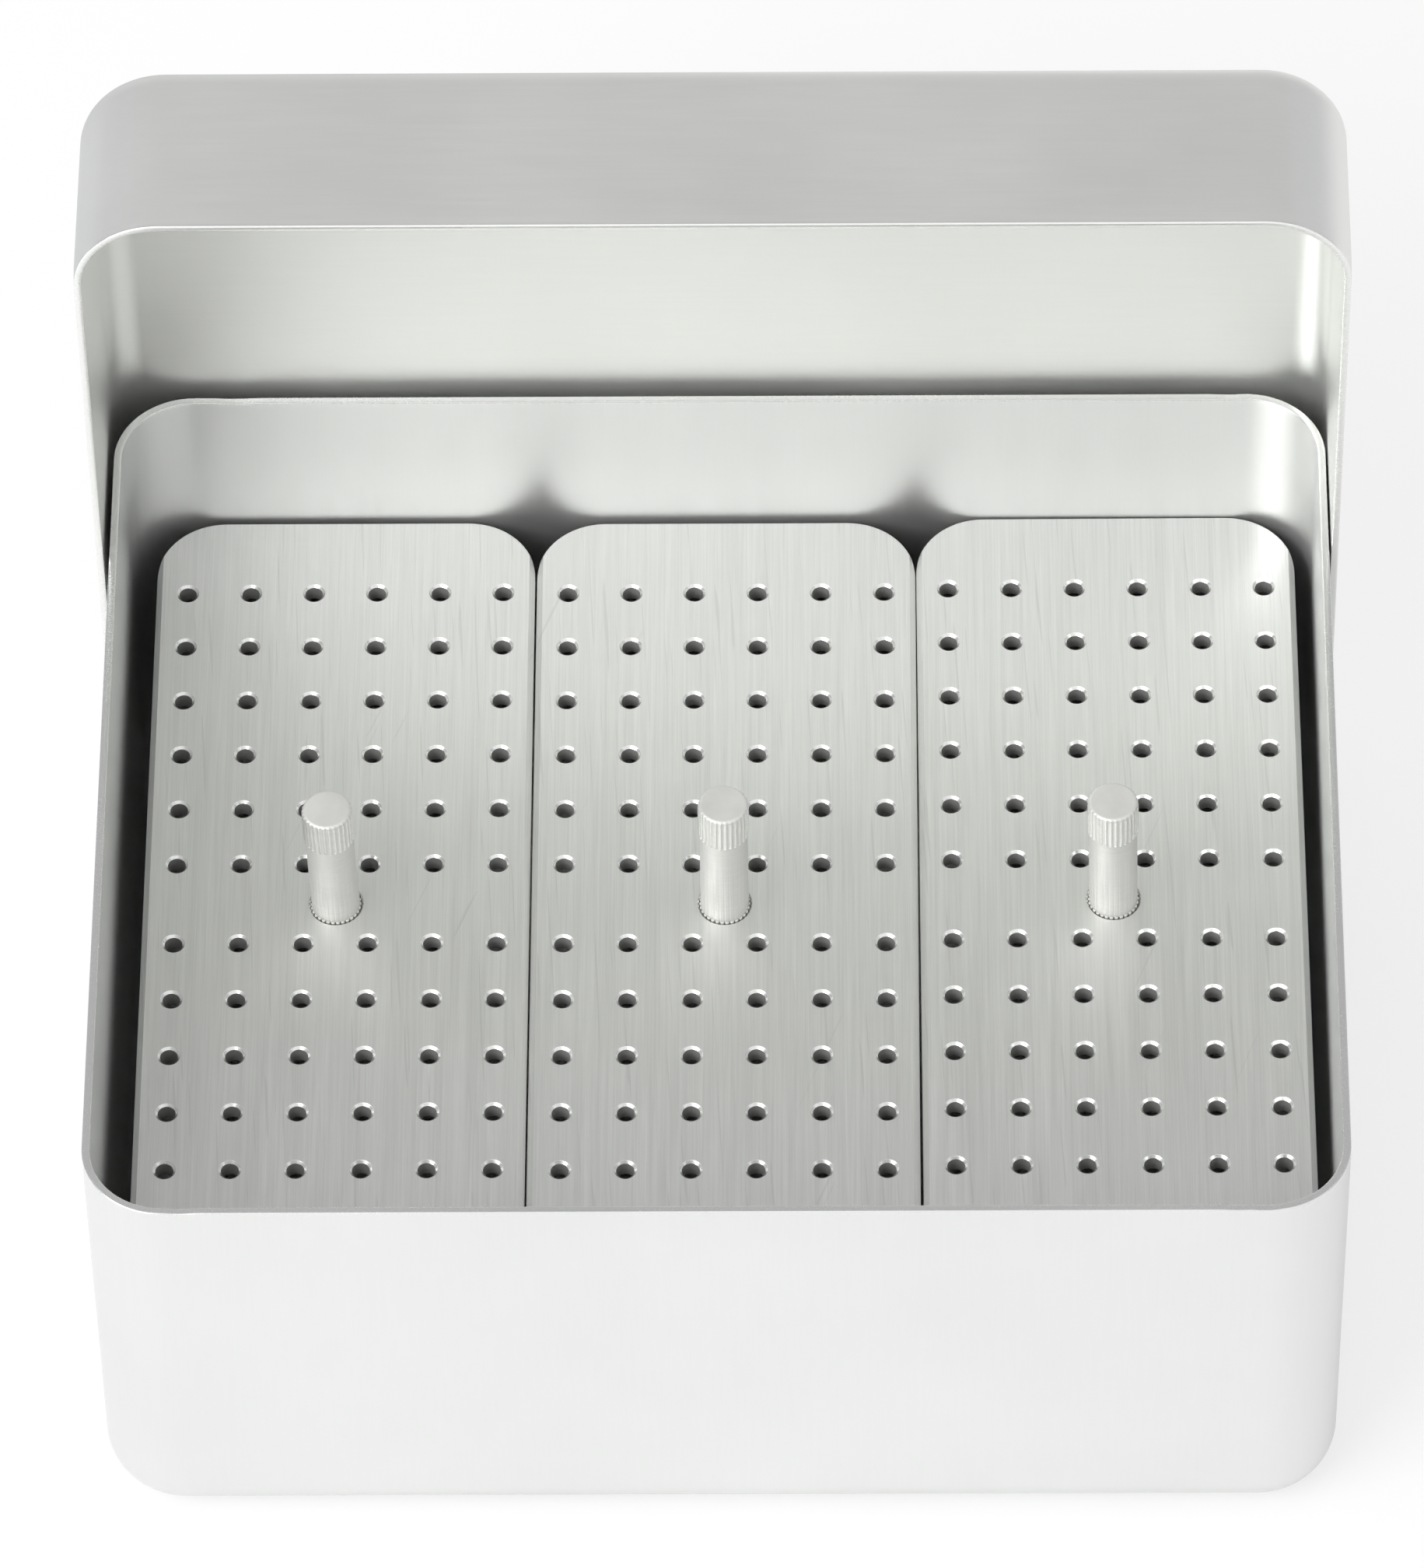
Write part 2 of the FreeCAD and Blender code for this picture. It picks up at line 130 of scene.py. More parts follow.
class NodeSheet:
    """A material's node tree with short calls for the nodes that the finishes share."""

    noise_low = 0.3
    noise_high = 0.7
    scratch_edge = 0.04
    scratch_stretch = 0.02

    def __init__(self, name: str, frame: Matrix | None = None) -> None:
        """Make an empty material with one Principled shader.

        Args:
            name: name of the material.
            frame: frame that its grain lies in; the world's where none is given.
        """
        self.material = bpy.data.materials.new(name)
        self.material.use_nodes = True
        self.tree = self.material.node_tree
        self.tree.nodes.clear()
        self.output = self.tree.nodes.new("ShaderNodeOutputMaterial")
        self.shader = self.tree.nodes.new("ShaderNodeBsdfPrincipled")
        self.tree.links.new(self.shader.outputs["BSDF"], self.output.inputs["Surface"])
        self.place = self.tree.nodes.new("ShaderNodeTexCoord").outputs["Object"]
        if frame is not None:
            local = self.node("ShaderNodeMapping", vector_type="TEXTURE")
            local.inputs["Location"].default_value = frame.translation
            local.inputs["Rotation"].default_value = frame.to_euler()
            self.link(self.place, local.inputs["Vector"])
            self.place = local.outputs["Vector"]

    def node(self, kind: str, **settings: object) -> bpy.types.Node:
        """Add a node and set its own properties."""
        made = self.tree.nodes.new(kind)
        for key, value in settings.items():
            setattr(made, key, value)
        return made

    def link(self, source: Socket, target: Socket) -> None:
        """Join two sockets."""
        self.tree.links.new(source, target)

    def stretched(self, scale: float, grain: Grain) -> Socket:
        """Object coordinates, stretched along the grain.

        Args:
            scale: detail per metre across the grain.
            grain: direction that the marks run in.

        Returns:
            The vector socket.
        """
        mapping = self.node("ShaderNodeMapping")
        mapping.inputs["Scale"].default_value = [scale * part for part in grain.value]
        self.link(self.place, mapping.inputs["Vector"])
        return mapping.outputs["Vector"]

    def noise(self, scale: float, grain: Grain, detail: float = 3.0, rough: float = 0.6) -> Socket:
        """Noise whose cells are stretched along the grain.

        Args:
            scale: cells per metre across the grain.
            grain: direction that the marks run in.
            detail: octaves of the noise.
            rough: weight of the finer octaves.

        Returns:
            The noise's value socket.
        """
        texture = self.node("ShaderNodeTexNoise")
        texture.inputs["Scale"].default_value = 1.0
        texture.inputs["Detail"].default_value = detail
        texture.inputs["Roughness"].default_value = rough
        self.link(self.stretched(scale, grain), texture.inputs["Vector"])
        return texture.outputs["Fac"]

    def ramp(self, value: Socket, low: float, high: float, start: float, end: float) -> Socket:
        """Map a value's range from low..high to start..end, clamped."""
        made = self.node("ShaderNodeMapRange", clamp=True)
        self.link(value, made.inputs["Value"])
        for key, number in (("From Min", low), ("From Max", high), ("To Min", start), ("To Max", end)):
            made.inputs[key].default_value = number
        return made.outputs["Result"]

    def spread(self, noise: Socket, start: float, end: float) -> Socket:
        """Map the usual range of a noise to start..end."""
        return self.ramp(noise, self.noise_low, self.noise_high, start, end)

    def maths(self, operation: str, first: Socket, second: Socket | float) -> Socket:
        """Combine two values."""
        made = self.node("ShaderNodeMath", operation=operation)
        self.link(first, made.inputs[0])
        if isinstance(second, (int, float)):
            made.inputs[1].default_value = second
        else:
            self.link(second, made.inputs[1])
        return made.outputs["Value"]

    def blend(self, factor: Socket, dark: Colour, light: Colour) -> Socket:
        """Mix two colours by a factor."""
        made = self.node("ShaderNodeMix", data_type="RGBA")
        self.link(factor, made.inputs["Factor"])
        made.inputs["A"].default_value = (*dark, 1.0)
        made.inputs["B"].default_value = (*light, 1.0)
        return made.outputs["Result"]

    def scratches(self, density: float, angle_degrees: float, rarity: float) -> Socket:
        """Thin, straight, sparse scratches in one direction.

        Args:
            density: scratch lines per metre.
            angle_degrees: direction in the XY plane, from Y.
            rarity: noise level above which a line counts as a scratch.

        Returns:
            A value that is 1 on a scratch and 0 elsewhere.
        """
        turned = self.node("ShaderNodeMapping")
        turned.inputs["Rotation"].default_value = (0.0, 0.0, math.radians(angle_degrees))
        self.link(self.place, turned.inputs["Vector"])
        along = self.scratch_stretch
        stretched = self.node("ShaderNodeMapping")
        stretched.inputs["Scale"].default_value = (density, density * along, density * along)
        self.link(turned.outputs["Vector"], stretched.inputs["Vector"])
        lines = self.node("ShaderNodeTexNoise")
        lines.inputs["Scale"].default_value = 1.0
        lines.inputs["Detail"].default_value = 0.0
        self.link(stretched.outputs["Vector"], lines.inputs["Vector"])
        return self.ramp(lines.outputs["Fac"], rarity, rarity + self.scratch_edge, 0.0, 1.0)

    def mark(self, name: Mark) -> Socket:
        """One of the values that the meshes carry on their points."""
        return self.node("ShaderNodeAttribute", attribute_name=name.value).outputs["Fac"]

    def brushed_along_y(self, amount: float) -> None:
        """Spread reflections across marks that run along Y."""
        across = self.node("ShaderNodeCombineXYZ")
        across.inputs["X"].default_value = 1.0
        self.link(across.outputs["Vector"], self.shader.inputs["Tangent"])
        self.shader.inputs["Anisotropic"].default_value = amount

    def bump(self, height: Socket, depth: float, strength: float) -> None:
        """Feed a height into the shader's normal.

        Args:
            height: value of 0 to 1.
            depth: height of a value of 1, in metres.
            strength: share of the full effect.
        """
        made = self.node("ShaderNodeBump")
        made.inputs["Strength"].default_value = strength
        made.inputs["Distance"].default_value = depth
        self.link(height, made.inputs["Height"])
        self.link(made.outputs["Normal"], self.shader.inputs["Normal"])


@dataclass(frozen=True)
class AnodisedSheet:
    """Satin anodised aluminium sheet with faint rolling lines, light wear and a bare, shinier rim."""

    name: str
    grain: Grain
    colour: Colour
    frame: Matrix
    roughness: float = 0.42
    edge_roughness: float = 0.26
    metallic: float = 0.88
    grain_scale: float = 2600.0
    grain_depth: float = 1.4e-6
    cloud_scale: float = 38.0
    pit_scale: float = 5200.0
    dark_share: float = 0.95
    uneven: float = 0.03
    rim_relief: float = 0.12
    relief: float = 0.6

    def build(self) -> bpy.types.Material:
        """Make the material."""
        sheet = NodeSheet(self.name, self.frame)
        lines = sheet.noise(self.grain_scale, self.grain, 4.0, 0.65)
        cloud = sheet.noise(self.cloud_scale, Grain.EVEN, 3.0, 0.5)
        pits = sheet.noise(self.pit_scale, Grain.EVEN, 2.0, 0.5)
        tone = sheet.maths("ADD", sheet.spread(cloud, 0.0, 0.6), sheet.spread(lines, 0.0, 0.4))
        dark = tuple(self.dark_share * part for part in self.colour)
        sheet.link(sheet.blend(tone, dark, self.colour), sheet.shader.inputs["Base Color"])
        patches = sheet.spread(cloud, self.roughness - self.uneven, self.roughness + self.uneven)
        worn = sheet.maths("ADD", patches, sheet.spread(lines, -self.uneven, self.uneven))
        shine = sheet.maths("MULTIPLY", sheet.mark(Mark.WORN), self.roughness - self.edge_roughness)
        sheet.link(sheet.maths("SUBTRACT", worn, shine), sheet.shader.inputs["Roughness"])
        height = sheet.maths("ADD", sheet.maths("MULTIPLY", lines, 0.6), sheet.maths("MULTIPLY", pits, 0.4))
        calm = sheet.ramp(sheet.mark(Mark.WORN), 0.0, 1.0, 1.0, self.rim_relief)
        sheet.bump(sheet.maths("MULTIPLY", height, calm), self.grain_depth, self.relief)
        sheet.shader.inputs["Metallic"].default_value = self.metallic
        return sheet.material


@dataclass(frozen=True)
class BrushedPlate:
    """Brushed and anodised plate with long streaks, scratches, shiny hole edges and matt bores, whose dark
    grey colour is painted shade.
    """

    name: str
    colour: Colour
    bore_shade_colour: Colour
    frame: Matrix
    roughness: float = 0.46
    edge_roughness: float = 0.24
    metallic: float = 0.92
    spread: float = 0.40
    fine_scale: float = 5200.0
    broad_scale: float = 1100.0
    cloud_scale: float = 55.0
    dark_share: float = 0.83
    scratch_tone: float = 0.5
    scratch_depth: float = 0.9
    uneven: float = 0.04
    patchy: float = 0.03
    bore_matt: float = 0.15
    bore_metallic: float = 0.45
    streak_depth: float = 2.0e-6
    relief: float = 0.7

    def build(self) -> bpy.types.Material:
        """Make the material."""
        sheet = NodeSheet(self.name, self.frame)
        fine = sheet.noise(self.fine_scale, Grain.LONGEST_STREAKS, 3.0, 0.7)
        broad = sheet.noise(self.broad_scale, Grain.LONG_STREAKS, 3.0, 0.6)
        cloud = sheet.noise(self.cloud_scale, Grain.ALONG_Y, 2.0, 0.5)
        straight = sheet.scratches(density=3400.0, angle_degrees=-3.0, rarity=0.74)
        slanted = sheet.scratches(density=2600.0, angle_degrees=21.0, rarity=0.83)
        marks = sheet.maths("MAXIMUM", straight, slanted)
        bore = sheet.mark(Mark.BORE)
        streaks = sheet.maths("ADD", sheet.spread(fine, 0.0, 0.6), sheet.spread(broad, 0.0, 0.4))
        tone = sheet.maths("SUBTRACT", streaks, sheet.maths("MULTIPLY", marks, self.scratch_tone))
        dark = tuple(self.dark_share * part for part in self.colour)
        # The walls of the holes are matt and less metallic as drilled metal, and their base colour is a dark
        # grey that is painted shade of the recess.
        mixed = sheet.node("ShaderNodeMix", data_type="RGBA")
        sheet.link(bore, mixed.inputs["Factor"])
        sheet.link(sheet.blend(tone, dark, self.colour), mixed.inputs["A"])
        mixed.inputs["B"].default_value = (*self.bore_shade_colour, 1.0)
        sheet.link(mixed.outputs["Result"], sheet.shader.inputs["Base Color"])
        streaky = sheet.spread(broad, self.roughness - self.uneven, self.roughness + self.uneven)
        worn = sheet.maths("ADD", streaky, sheet.spread(cloud, -self.patchy, self.patchy))
        matt = sheet.maths("ADD", worn, sheet.maths("MULTIPLY", bore, self.bore_matt))
        shine = sheet.maths("MULTIPLY", sheet.mark(Mark.WORN), self.roughness - self.edge_roughness)
        sheet.link(sheet.maths("SUBTRACT", matt, shine), sheet.shader.inputs["Roughness"])
        height = sheet.maths("ADD", sheet.maths("MULTIPLY", fine, 0.6), sheet.maths("MULTIPLY", broad, 0.4))
        cut = sheet.maths("SUBTRACT", height, sheet.maths("MULTIPLY", marks, self.scratch_depth))
        sheet.bump(cut, self.streak_depth, self.relief)
        metal = sheet.ramp(bore, 0.0, 1.0, self.metallic, self.bore_metallic)
        sheet.link(metal, sheet.shader.inputs["Metallic"])
        sheet.brushed_along_y(self.spread)
        return sheet.material


@dataclass(frozen=True)
class TurnedPin:
    """Turned aluminium with fine lathe rings, a warm, matt skin and ridges that handling has polished, their
    lighter colour partly bare metal and partly a painted highlight.
    """

    name: str
    colour: Colour
    frame: Matrix
    roughness: float = 0.50
    edge_roughness: float = 0.22
    metallic: float = 0.55
    ring_scale: float = 9000.0
    cloud_scale: float = 420.0
    dark_share: float = 0.92
    # Lightening of the crests' colour: partly bare, polished metal and partly a painted highlight.
    bare_and_highlight_share: float = 1.18
    uneven: float = 0.04
    ring_depth: float = 2.0e-6
    relief: float = 0.5

    def build(self) -> bpy.types.Material:
        """Make the material."""
        sheet = NodeSheet(self.name, self.frame)
        rings = sheet.noise(self.ring_scale, Grain.ROUND_POST, 3.0, 0.6)
        cloud = sheet.noise(self.cloud_scale, Grain.EVEN, 3.0, 0.5)
        # The worn mark picks the crests of the grip: they are shinier and fully metallic, and their colour is
        # lightened, partly as bare metal and partly as a painted highlight of the bright knurl lines.
        worn = sheet.mark(Mark.WORN)
        dark = tuple(self.dark_share * part for part in self.colour)
        bare = tuple(min(1.0, self.bare_and_highlight_share * part) for part in self.colour)
        mixed = sheet.node("ShaderNodeMix", data_type="RGBA")
        sheet.link(worn, mixed.inputs["Factor"])
        sheet.link(sheet.blend(sheet.spread(rings, 0.0, 1.0), dark, self.colour), mixed.inputs["A"])
        mixed.inputs["B"].default_value = (*bare, 1.0)
        sheet.link(mixed.outputs["Result"], sheet.shader.inputs["Base Color"])
        turned = sheet.spread(rings, self.roughness - self.uneven, self.roughness + self.uneven)
        matt = sheet.maths("ADD", sheet.spread(cloud, -self.uneven, self.uneven), turned)
        shine = sheet.maths("MULTIPLY", worn, self.roughness - self.edge_roughness)
        sheet.link(sheet.maths("SUBTRACT", matt, shine), sheet.shader.inputs["Roughness"])
        sheet.link(sheet.ramp(worn, 0.0, 1.0, self.metallic, 1.0), sheet.shader.inputs["Metallic"])
        sheet.bump(rings, self.ring_depth, self.relief)
        return sheet.material


# Mesh helpers


def arc(centre: PlanPoint, radius: float, start: float, end: float, steps: int) -> list[PlanPoint]:
    """Points on an arc, both ends included; angles in degrees."""
    points = []
    for step in range(steps + 1):
        angle = math.radians(start + (end - start) * step / steps)
        points.append((centre[0] + radius * math.cos(angle), centre[1] + radius * math.sin(angle)))
    return points


def rounded_outline(half_x: float, half_y: float, radius: float, steps: int,
                    straight: int) -> list[PlanPoint]:
    """Counter-clockwise rounded rectangle round the origin.

    Args:
        half_x: half the width.
        half_y: half the length.
        radius: corner radius.
        steps: divisions of a corner.
        straight: divisions of a straight side.

    Returns:
        The outline's points, without a repeated last one.
    """
    inner_x = half_x - radius
    inner_y = half_y - radius
    centres = [
        ((inner_x, -inner_y), -90),
        ((inner_x, inner_y), 0),
        ((-inner_x, inner_y), 90),
        ((-inner_x, -inner_y), 180),
    ]
    corners = [arc(centre, radius, start, start + 90, steps) for centre, start in centres]
    points: list[PlanPoint] = []
    for index, corner in enumerate(corners):
        points.extend(corner)
        begin = corner[-1]
        finish = corners[(index + 1) % 4][0]
        for step in range(1, straight):
            share = step / straight
            across = begin[0] + (finish[0] - begin[0]) * share
            along = begin[1] + (finish[1] - begin[1]) * share
            points.append((across, along))
    return points


def closed_skin(mesh: bmesh.types.BMesh, rings: Sequence[Sequence[Point]]) -> None:
    """Join closed rings of equal length into a skin, with one face on each end.

    Args:
        mesh: mesh to add to.
        rings: rings of points, in order.
    """
    rows = [[mesh.verts.new(point) for point in ring] for ring in rings]
    count = len(rows[0])
    for lower, upper in zip(rows, rows[1:]):
        for index in range(count):
            after = (index + 1) % count
            mesh.faces.new((lower[index], lower[after], upper[after], upper[index]))
    mesh.faces.new(list(reversed(rows[0])))
    mesh.faces.new(rows[-1])


def add_panel(name: str, width: float, height: float) -> bpy.types.Object:
    """Link one flat rectangle round its own origin.

    Args:
        name: name of the object.
        width: its size along X.
        height: its size along Y.

    Returns:
        The new object.
    """
    right = width / 2
    top = height / 2
    corners = [(-right, -top, 0.0), (right, -top, 0.0), (right, top, 0.0), (-right, top, 0.0)]
    mesh = bmesh.new()
    mesh.faces.new([mesh.verts.new(point) for point in corners])
    data = bpy.data.meshes.new(name)
    mesh.to_mesh(data)
    mesh.free()
    panel = bpy.data.objects.new(name, data)
    bpy.context.scene.collection.objects.link(panel)
    return panel


def finish_mesh(mesh: bmesh.types.BMesh, name: str, sharp_degrees: float = 28.0) -> bpy.types.Mesh:
    """Turn a bmesh into a mesh with smooth faces and sharp creases.

    Args:
        mesh: the bmesh, freed here.
        name: name of the new mesh.
        sharp_degrees: creases above this angle stay sharp.

    Returns:
        The new mesh.
    """
    bmesh.ops.recalc_face_normals(mesh, faces=mesh.faces)
    for face in mesh.faces:
        face.smooth = len(face.verts) <= 4
    for edge in mesh.edges:
        if len(edge.link_faces) == 2 and edge.calc_face_angle(0.0) > math.radians(sharp_degrees):
            edge.smooth = False
    data = bpy.data.meshes.new(name)
    mesh.to_mesh(data)
    mesh.free()
    return data


def put_mark(data: bpy.types.Mesh, name: Mark, rule: Callable[[Vector], float]) -> None:
    """Store a value on every point of a mesh.

    Args:
        data: the mesh, still in its own frame.
        name: which value it is.
        rule: gives the value for a point.
    """
    layer = data.attributes.new(name.value, "FLOAT", "POINT")
    for point, item in zip(data.vertices, layer.data):
        item.value = rule(point.co)


def place_piece(name: str, data: bpy.types.Mesh, matrix: Matrix, node: str,
                material: bpy.types.Material) -> bpy.types.Object:
    """Link a piece that stands for a node, in its place and finish.

    Args:
        name: name of the piece.
        data: its mesh, in its own frame; it is moved to the world's here.
        matrix: its place in the world.
        node: the node that it stands for.
        material: its finish.

    Returns:
        The new object.
    """
    data.transform(matrix)
    piece = bpy.data.objects.new(name, data)
    bpy.context.scene.collection.objects.link(piece)
    data.materials.clear()
    data.materials.append(material)
    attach(piece, BODY)
    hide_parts(node)
    return piece


# Sub-assemblies


@dataclass(frozen=True)
class Dent:
    """Small nick in the rim of a shell, at a place along one of its long sides."""

    x: float
    side: int
    half_width: float
    depth: float

    def drop(self, x: float, y: float) -> float:
        """How far the rim lies lower at a point."""
        if y * self.side < 0 or abs(x - self.x) > self.half_width:
            return 0.0
        share = abs(x - self.x) / self.half_width
        return self.depth * (1 - share * share)


@dataclass(frozen=True)
class DrawnShell:
    """Deep-drawn open shell: tray or lid, closed face at z = 0 and rim on top."""

    name: str
    node: str
    slot: str
    width: float
    length: float
    depth: float
    corner_radius: float
    edge_radius: float
    gauge: float = 0.8 * MM
    outer_break: float = 0.16 * MM
    inner_break: float = 0.12 * MM
    rim_roll: float = 0.0
    roll_height: float = 2.2 * MM
    corner_steps: int = 20
    straight_steps: int = 110
    round_steps: int = 14
    wall_steps: int = 10
    edge_steps: int = 4
    dented_band: float = 0.35 * MM
    worn_band: float = 0.3 * MM
    dents: tuple[Dent, ...] = ()

    def ring(self, inset: float, height: float) -> list[Point]:
        """One level of the shell, inset from the outside."""
        outline = rounded_outline(self.width / 2 - inset, self.length / 2 - inset, self.corner_radius - inset,
                                  self.corner_steps, self.straight_steps)
        if height <= self.depth - self.dented_band:
            return [(x, y, height) for x, y in outline]
        return [(x, y, height - sum(dent.drop(x, y) for dent in self.dents)) for x, y in outline]

    def section(self) -> list[PlanPoint]:
        """Insets and heights from the closed face outside, over the rim, to the inside."""
        start = self.edge_radius
        inner_radius = self.edge_radius - self.gauge
        outer = []
        inner = []
        for step in range(self.round_steps + 1):
            angle = math.radians(90 * step / self.round_steps)
            inward = 1 - math.sin(angle)
            upward = 1 - math.cos(angle)
            outer.append((start * inward, start * upward))
            inner.append((self.gauge + inner_radius * inward, self.gauge + inner_radius * upward))
        wall = self.wall_levels(start, self.depth - self.outer_break)
        outer += [(self.rolled(height), height) for height in wall]
        inset = outer[-1][0]
        rim = [(inset + x, y) for x, y in self.edge(self.outer_break)]
        rim += [(self.gauge - x, y) for x, y in reversed(self.edge(self.inner_break))]
        wall = self.wall_levels(start, self.depth - self.inner_break)
        inside = [(self.gauge, height) for height in reversed(wall)]
        return outer + rim + inside + list(reversed(inner))

    def wall_levels(self, start: float, end: float) -> list[float]:
        """Heights along a wall, closer together near the rim."""
        return [start + (end - start) * math.sin(math.radians(90 * step / self.wall_steps))
                for step in range(1, self.wall_steps + 1)]

    def rolled(self, height: float) -> float:
        """Inset of the outside, which rolls in a little towards the rim."""
        share = max(0.0, 1 - (self.depth - height) / self.roll_height)
        return self.rim_roll * share * share

    def edge(self, radius: float) -> list[PlanPoint]:
        """Rounded edge of the rim as insets and heights, without its lowest point."""
        turns = [math.radians(90 * step / self.edge_steps) for step in range(1, self.edge_steps + 1)]
        return [(radius * (1 - math.cos(a)), self.depth - radius * (1 - math.sin(a))) for a in turns]

    def build(self, matrix: Matrix, material: bpy.types.Material) -> bpy.types.Object:
        """Make the shell in its place.

        Args:
            matrix: its place in the world.
            material: its finish.

        Returns:
            The new object.
        """
        mesh = bmesh.new()
        rings = [self.ring(inset, height) for inset, height in self.section()]
        closed_skin(mesh, rings)
        data = finish_mesh(mesh, self.name)
        cut_edge = self.depth - self.worn_band
        put_mark(data, Mark.WORN, lambda point: 1.0 if point.z > cut_edge else 0.0)
        return place_piece(self.name, data, matrix, self.node, material)


@dataclass(frozen=True)
class PerforatedRack:
    """Perforated plate on two long legs, with countersunk file holes and the hole of the post."""

    width: float = 39.0 * MM
    length: float = 98.5 * MM
    height: float = 33.0 * MM
    plate: float = 2.0 * MM
    corner_radius: float = 7.0 * MM
    bevel: float = 0.6 * MM
    edge_break: float = 0.12 * MM
    leg_offset: float = 13.0 * MM
    leg_thickness: float = 1.5 * MM
    leg_length: float = 87.8 * MM
    column_pitch: float = 6.5 * MM
    row_pitch: float = 7.0 * MM
    middle_gap: float = 10.0 * MM
    columns: int = 6
    rows: int = 6
    hole_radius: float = 0.9 * MM
    hole_break: tuple[float, float] = (0.26 * MM, 0.25 * MM)
    post_hole_radius: float = 2.605 * MM
    post_break: tuple[float, float] = (0.18 * MM, 0.2 * MM)
    hole_steps: int = 40
    post_hole_steps: int = 96
    over: float = 1.0 * MM
    top_band: float = 0.004 * MM
    sharp_degrees: float = 24.0

    def plate_rings(self) -> list[list[Point]]:
        """Levels of the plate from its underside to its top, with the bevel along the long edges."""
        outline = rounded_outline(self.width / 2, self.length / 2, self.corner_radius, 16, 1)
        flat = self.width / 2 - self.bevel
        bottom = self.height - self.plate
        small = self.edge_break
        lowest = [(x * (1 - small / self.width), y * (1 - small / self.length), bottom) for x, y in outline]
        low = [(x, y, bottom + small / 2) for x, y in outline]
        shoulder = []
        top = []
        for x, y in outline:
            beyond = max(0.0, abs(x) - flat)
            side = math.copysign(1.0, x)
            drop = max(beyond, small)
            shoulder.append((x, y, self.height - drop))
            scale = 1 - small / self.length * 2
            top.append((side * min(abs(x) * (1 - small / self.width), flat), y * scale, self.height))
        return [lowest, low, shoulder, top]

    def hole_centres(self) -> list[PlanPoint]:
        """Centres of all file holes."""
        across = [(column - (self.columns - 1) / 2) * self.column_pitch for column in range(self.columns)]
        along = [self.middle_gap / 2 + row * self.row_pitch for row in range(self.rows)]
        return [(x, side * y) for x in across for y in along for side in (-1, 1)]

    def drill(self, mesh: bmesh.types.BMesh, centre: PlanPoint, radius: float, mouth: tuple[float, float],
              steps: int) -> None:
        """Add one closed cutter: a shank through the plate with a countersunk mouth.

        Args:
            mesh: mesh that collects the cutters.
            centre: axis of the hole.
            radius: radius of the hole.
            mouth: width and depth of the broken edge at the plate's top.
            steps: sides of the cutter.
        """
        width, depth = mouth
        levels = [
            (radius, self.height - self.plate - self.over),
            (radius, self.height - depth * 1.15),
            (radius, self.height - depth),
            (radius + 0.78 * width, self.height - 0.22 * depth),
            (radius + width, self.height),
            (radius + width + self.over, self.height + self.over),
        ]
        turn = [math.tau * step / steps for step in range(steps)]
        rings = []
        for size, height in levels:
            circle = [polar(size, angle, height) for angle in turn]
            rings.append([(centre[0] + x, centre[1] + y, z) for x, y, z in circle])
        closed_skin(mesh, rings)

    def solid_mesh(self) -> bpy.types.Mesh:
        """Mesh of the drilled rack in its own frame."""
        body = bmesh.new()
        closed_skin(body, self.plate_rings())
        plain = finish_mesh(body, "rack_plain")
        cutters = bmesh.new()
        for centre in self.hole_centres():
            self.drill(cutters, centre, self.hole_radius, self.hole_break, self.hole_steps)
        self.drill(cutters, (0.0, 0.0), self.post_hole_radius, self.post_break, self.post_hole_steps)
        bmesh.ops.recalc_face_normals(cutters, faces=cutters.faces)
        tools = bpy.data.meshes.new("rack_cutters")
        cutters.to_mesh(tools)
        cutters.free()
        drilled = cut_away(plain, tools)
        mesh = bmesh.new()
        mesh.from_mesh(drilled)
        bpy.data.meshes.remove(drilled)
        for side in (-1, 1):
            self.add_leg(mesh, side)
        data = finish_mesh(mesh, "rack", self.sharp_degrees)
        put_mark(data, Mark.WORN, self.worn)
        put_mark(data, Mark.BORE, self.bored)
        return data

    def worn(self, point: Vector) -> float:
        """1 on the countersinks of the holes and on the bevels, 0 elsewhere."""
        depth = self.height - point.z
        return 1.0 if self.top_band < depth < self.hole_break[1] * 1.01 else 0.0

    def bored(self, point: Vector) -> float:
        """1 on the walls of the holes, 0 elsewhere."""
        depth = self.height - point.z
        inside = abs(point.x) < self.width / 2 - self.bevel and abs(point.y) < self.length / 2 - self.bevel
        within = self.hole_break[1] * 1.05 < depth < self.plate + self.edge_break
        return 1.0 if inside and within else 0.0

    def add_leg(self, mesh: bmesh.types.BMesh, side: int) -> None:
        """Add one long leg with slightly rounded long edges.

        Args:
            mesh: mesh to add to.
            side: -1 for the left leg, 1 for the right one.
        """
        outline = rounded_outline(self.leg_thickness / 2, self.leg_length / 2, self.edge_break * 2, 4, 1)
        middle = side * self.leg_offset
        levels = [0.0, self.edge_break, self.height - self.plate + self.edge_break]
        rings = []
        for index, level in enumerate(levels):
            inset = self.edge_break if index == 0 else 0.0
            shrink = 1 - 2 * inset / self.leg_thickness
            rings.append([(middle + x * shrink, y, level) for x, y in outline])
        closed_skin(mesh, rings)


def cut_away(plain: bpy.types.Mesh, tools: bpy.types.Mesh) -> bpy.types.Mesh:
    """Subtract closed cutters from a mesh.

    Args:
        plain: mesh to cut.
        tools: the cutters.

    Returns:
        The cut mesh.
    """
    target = bpy.data.objects.new("rack_blank", plain)
    cutter = bpy.data.objects.new("rack_drills", tools)
    for item in (target, cutter):
        bpy.context.scene.collection.objects.link(item)
    step = target.modifiers.new("drilling", "BOOLEAN")
    step.operation = "DIFFERENCE"
    step.solver = "EXACT"
    step.object = cutter
    bpy.context.view_layer.update()
    graph = bpy.context.evaluated_depsgraph_get()
    result = bpy.data.meshes.new_from_object(target.evaluated_get(graph))
    for item in (target, cutter):
        bpy.data.objects.remove(item)
    return result


